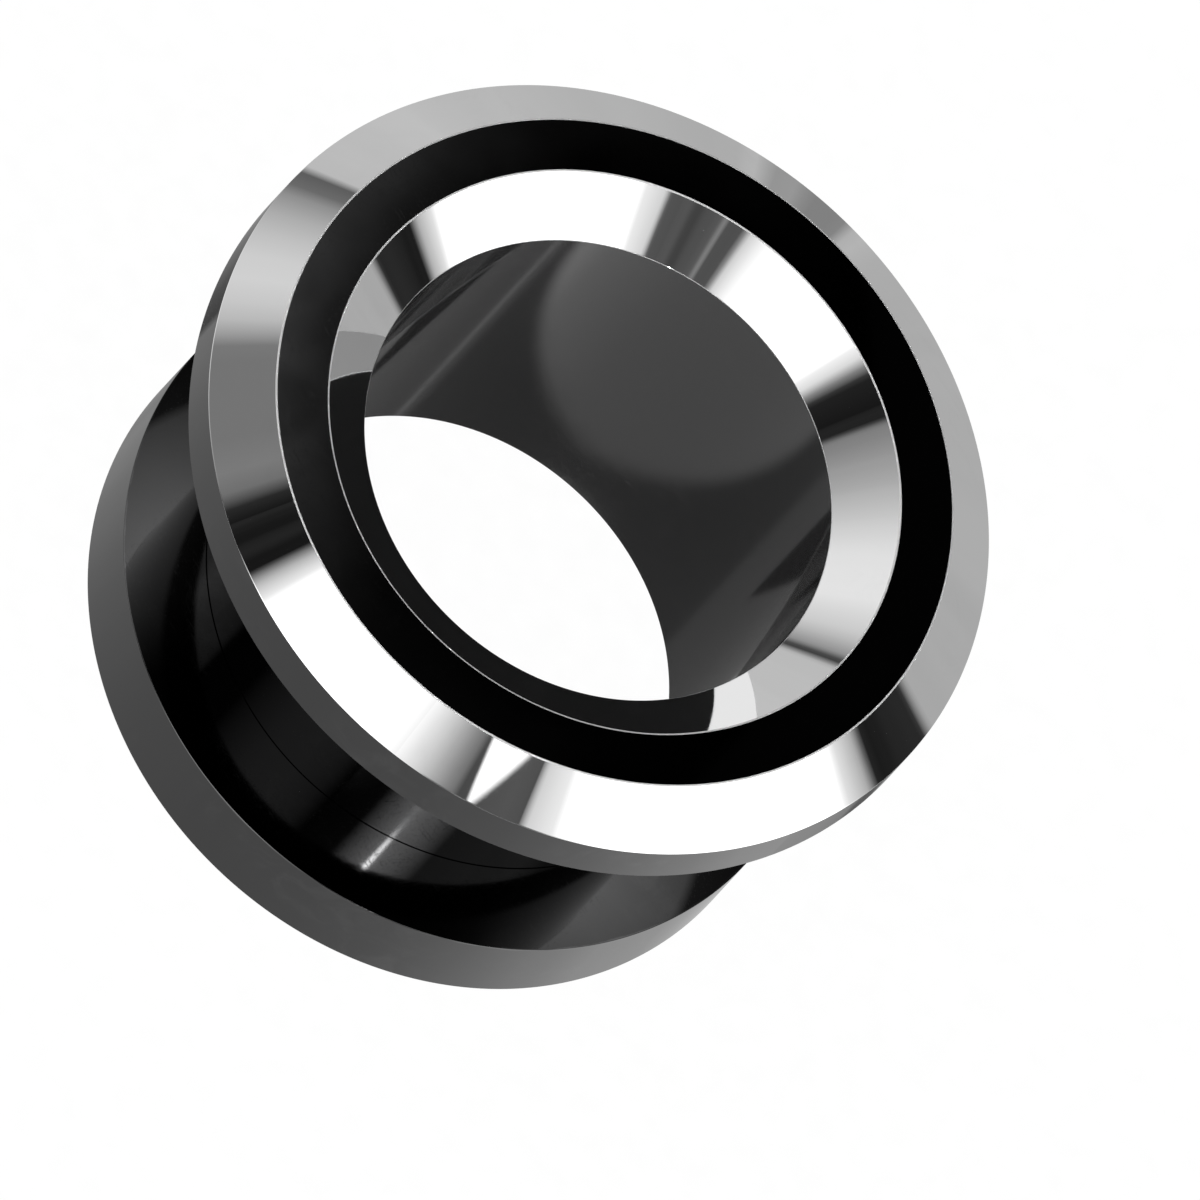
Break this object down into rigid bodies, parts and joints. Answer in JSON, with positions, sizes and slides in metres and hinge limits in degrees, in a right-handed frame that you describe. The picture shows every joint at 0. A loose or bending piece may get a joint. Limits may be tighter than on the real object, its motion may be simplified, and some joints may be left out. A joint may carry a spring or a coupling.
{
  "type": "ear tunnel",
  "caption": "Hollow screw-fit ear tunnel: a flanged barrel with an open bore and a bevelled front flange, closed at the back by a flat threaded ring.",
  "frame": {"origin": "centre of the back ring's flat back face, which the tunnel lies on", "axes": "+Z along the tunnel's axis, from the back ring up to the bevelled front flange; X and Y are free"},
  "size_m": [0.0236, 0.0236, 0.0132],
  "materials": {
    "black_coated_steel": "mirror polished black vapour-deposited coating on steel",
    "bare_steel": "mirror polished bare steel, on both bevels of the front flange and on the threads"
  },
  "bodies": {
    "ring": {"back_ring": "black_coated_steel"},
    "barrel": {"flanged_barrel": "black_coated_steel"}
  },
  "joints": [
    {"name": "unscrew", "type": "slide", "parent": "ring", "child": "barrel", "axis": [0, 0, 1], "range_m": [0, 0.008]}
  ]
}
